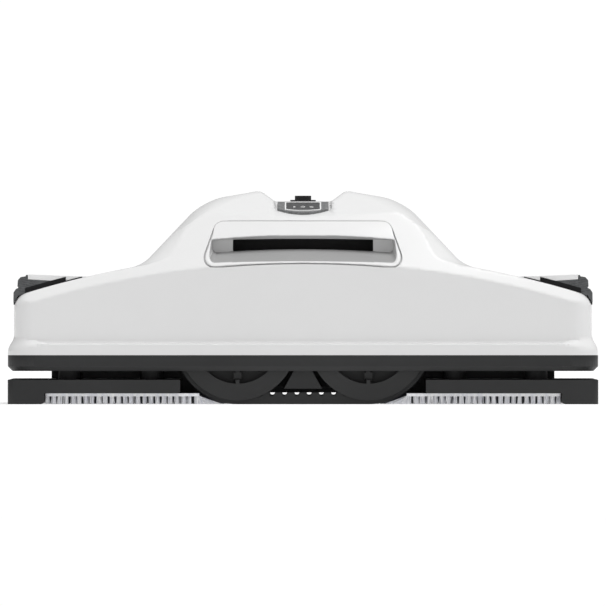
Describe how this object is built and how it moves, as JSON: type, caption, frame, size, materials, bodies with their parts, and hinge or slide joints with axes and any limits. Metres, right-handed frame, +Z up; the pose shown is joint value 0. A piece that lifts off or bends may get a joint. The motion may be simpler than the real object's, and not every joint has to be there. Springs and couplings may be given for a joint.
{
  "type": "robotic pool cleaner",
  "caption": "Low tracked pool-cleaning robot with a humped shell, a recessed carry grip, hinged filter lids and sprung scrubbing pads at both ends.",
  "frame": {"origin": "on the floor, under the middle of the body", "axes": "+X forwards along the travel, +Y to the machine's left, away from the grip, +Z up"},
  "size_m": [0.436, 0.4, 0.158],
  "materials": {
    "white_shell": "smooth moulded gloss",
    "white_trim": "smooth moulded gloss",
    "grip": "fine satin moulding",
    "charcoal_plastic": "fine matt texture",
    "black_plastic": "matt moulding",
    "smoked_gloss": "polished dark plastic",
    "track_rubber": "matt rubber",
    "seal_rubber": "soft matt rubber",
    "bristles": "fine nylon tufts",
    "steel": "turned stainless steel",
    "motor_case": "satin grey",
    "bronze": "machined",
    "grey_plastic": "satin moulding",
    "filter_plastic": "smooth moulding",
    "filter_mesh": "fine woven nylon",
    "battery_wrap": "shrink wrap",
    "circuit_board": "varnished",
    "impeller_plastic": "smooth moulding",
    "foam": "closed-cell foam"
  },
  "bodies": {
    "chassis": {"upper_shell": "white_shell", "handle_grip": "grip", "handle_pocket": "black_plastic", "skirt_band": "charcoal_plastic", "chassis_tub": "black_plastic", "track_frames": "black_plastic", "belt_guides": "charcoal_plastic", "track_belt_right": "track_rubber", "track_belt_left": "track_rubber", "idler_axles": "steel", "idler_clips": "steel", "shaft_bushes": "bronze", "drive_motors": "motor_case", "gearboxes": "motor_case", "intake_ducts": "black_plastic", "filter_basket_front": "filter_plastic", "filter_basket_rear": "filter_plastic", "filter_screens": "filter_mesh", "lid_gaskets": "seal_rubber", "lid_hinge_pins": "steel", "flap_pins": "steel", "power_box": "grey_plastic", "power_box_cover": "grey_plastic", "box_seal": "seal_rubber", "battery_pack": "battery_wrap", "control_board": "circuit_board", "pump_motors": "motor_case", "pump_ducts": "black_plastic", "outlet_grilles": "charcoal_plastic", "panel_bezel": "charcoal_plastic", "panel_trim": "white_trim", "socket_base": "black_plastic", "foam_floats": "foam", "shell_screws": "steel", "pad_bellows_front": "seal_rubber", "pad_bellows_rear": "seal_rubber"},
    "right_drive": {"drive_sprocket_right": "charcoal_plastic", "drive_shaft_right": "steel"},
    "left_drive": {"drive_sprocket_left": "charcoal_plastic", "drive_shaft_left": "steel"},
    "right_idler": {"idler_sprocket_right": "charcoal_plastic"},
    "left_idler": {"idler_sprocket_left": "charcoal_plastic"},
    "front_pad": {"pad_plate_front": "charcoal_plastic", "brush_field_front": "bristles", "pad_clips_front": "steel"},
    "rear_pad": {"pad_plate_rear": "charcoal_plastic", "brush_field_rear": "bristles", "pad_clips_rear": "steel"},
    "front_lid": {"lid_frame_front": "smoked_gloss", "lid_panel_front": "white_trim"},
    "rear_lid": {"lid_frame_rear": "smoked_gloss", "lid_panel_rear": "white_trim"},
    "front_latch": {"lid_latch_front": "smoked_gloss"},
    "rear_latch": {"lid_latch_rear": "smoked_gloss"},
    "front_flap": {"inlet_flap_front": "grey_plastic"},
    "rear_flap": {"inlet_flap_rear": "grey_plastic"},
    "front_impeller": {"impeller_front": "impeller_plastic"},
    "rear_impeller": {"impeller_rear": "impeller_plastic"},
    "button": {"power_button": "charcoal_plastic"},
    "swivel": {"cable_swivel": "black_plastic"}
  },
  "joints": [
    {"name": "right_drive_spin", "type": "hinge", "parent": "chassis", "child": "right_drive", "pos_m": [-0.0483, 0, 0.0468], "axis": [0, 1, 0], "continuous": true},
    {"name": "right_idler_spin", "type": "hinge", "parent": "chassis", "child": "right_idler", "pos_m": [0.0483, 0, 0.0468], "axis": [0, 1, 0], "continuous": true},
    {"name": "left_drive_spin", "type": "hinge", "parent": "chassis", "child": "left_drive", "pos_m": [-0.0483, 0, 0.0468], "axis": [0, 1, 0], "continuous": true},
    {"name": "left_idler_spin", "type": "hinge", "parent": "chassis", "child": "left_idler", "pos_m": [0.0483, 0, 0.0468], "axis": [0, 1, 0], "continuous": true},
    {"name": "front_pad_float", "type": "slide", "parent": "chassis", "child": "front_pad", "axis": [0, 0, 1], "range_m": [-0.004, 0], "stiffness_N_per_m": 500, "springref_m": -0.01, "deforming": ["pad_bellows_front"]},
    {"name": "front_lid_hinge", "type": "hinge", "parent": "chassis", "child": "front_lid", "pos_m": [0.1319, 0, 0.091], "axis": [0, -1, 0], "range_deg": [0, 80]},
    {"name": "front_latch_pivot", "type": "hinge", "parent": "front_lid", "child": "front_latch", "pos_m": [0.209, 0, 0.0887], "axis": [0, -1, 0], "range_deg": [0, 40]},
    {"name": "front_flap_pivot", "type": "hinge", "parent": "chassis", "child": "front_flap", "pos_m": [0.134, 0, 0.0606], "axis": [0, -1, 0], "range_deg": [0, 60]},
    {"name": "front_impeller_spin", "type": "hinge", "parent": "chassis", "child": "front_impeller", "pos_m": [0.05, 0, 0.13], "axis": [0, 0, 1], "continuous": true},
    {"name": "rear_pad_float", "type": "slide", "parent": "chassis", "child": "rear_pad", "axis": [0, 0, 1], "range_m": [-0.004, 0], "stiffness_N_per_m": 500, "springref_m": -0.01, "deforming": ["pad_bellows_rear"]},
    {"name": "rear_lid_hinge", "type": "hinge", "parent": "chassis", "child": "rear_lid", "pos_m": [-0.1319, 0, 0.091], "axis": [0, 1, 0], "range_deg": [0, 80]},
    {"name": "rear_latch_pivot", "type": "hinge", "parent": "rear_lid", "child": "rear_latch", "pos_m": [-0.209, 0, 0.0887], "axis": [0, 1, 0], "range_deg": [0, 40]},
    {"name": "rear_flap_pivot", "type": "hinge", "parent": "chassis", "child": "rear_flap", "pos_m": [-0.134, 0, 0.0606], "axis": [0, 1, 0], "range_deg": [0, 60]},
    {"name": "rear_impeller_spin", "type": "hinge", "parent": "chassis", "child": "rear_impeller", "pos_m": [-0.05, 0, 0.13], "axis": [0, 0, 1], "continuous": true},
    {"name": "power_button_press", "type": "slide", "parent": "chassis", "child": "button", "axis": [0, 0.29, -0.957], "range_m": [0, 0.0012], "stiffness_N_per_m": 600, "springref_m": -0.0008},
    {"name": "cable_swivel_spin", "type": "hinge", "parent": "chassis", "child": "swivel", "pos_m": [0, 0, 0.149], "axis": [0, 0, 1], "continuous": true}
  ],
  "couplings": [
    {"joint": "right_idler_spin", "follows": "right_drive_spin", "ratio": 1},
    {"joint": "left_idler_spin", "follows": "left_drive_spin", "ratio": 1}
  ]
}
